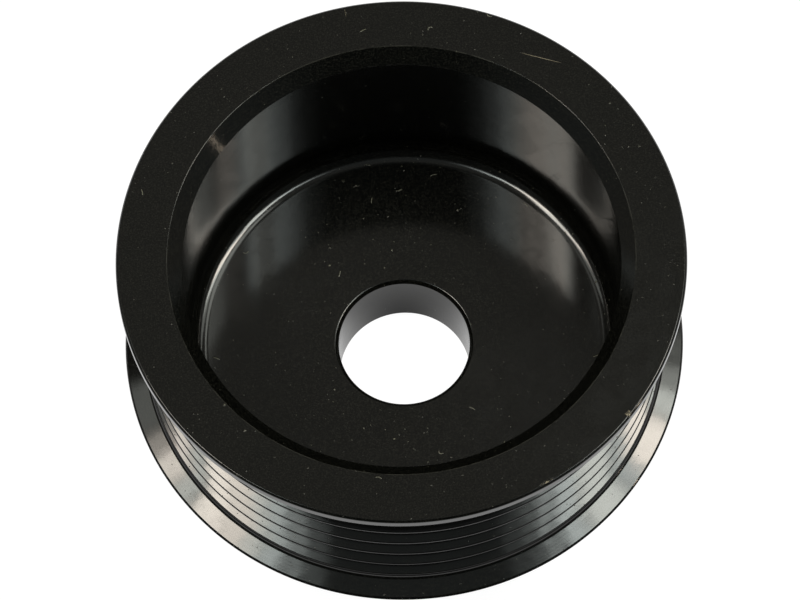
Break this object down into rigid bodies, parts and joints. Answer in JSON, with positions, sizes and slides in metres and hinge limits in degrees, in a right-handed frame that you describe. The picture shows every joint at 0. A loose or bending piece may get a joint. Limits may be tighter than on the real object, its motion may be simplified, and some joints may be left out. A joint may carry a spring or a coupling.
{
  "type": "ribbed belt pulley",
  "caption": "Solid turned pulley for a ribbed belt, with V-grooves between flanges, a deep round nut recess in its front and a plain shaft bore through its hub.",
  "frame": {"origin": "centre of the hub's back face, on the shaft axis", "axes": "+Z along the shaft axis, out of the nut recess; X and Y across it, with no preferred direction because the body is round"},
  "size_m": [0.0724, 0.0724, 0.0373],
  "materials": {
    "black_coat": "smooth gloss black coat over turned steel, with fine concentric turning marks"
  },
  "bodies": {
    "root": {"pulley_body": "black_coat"}
  },
  "joints": []
}
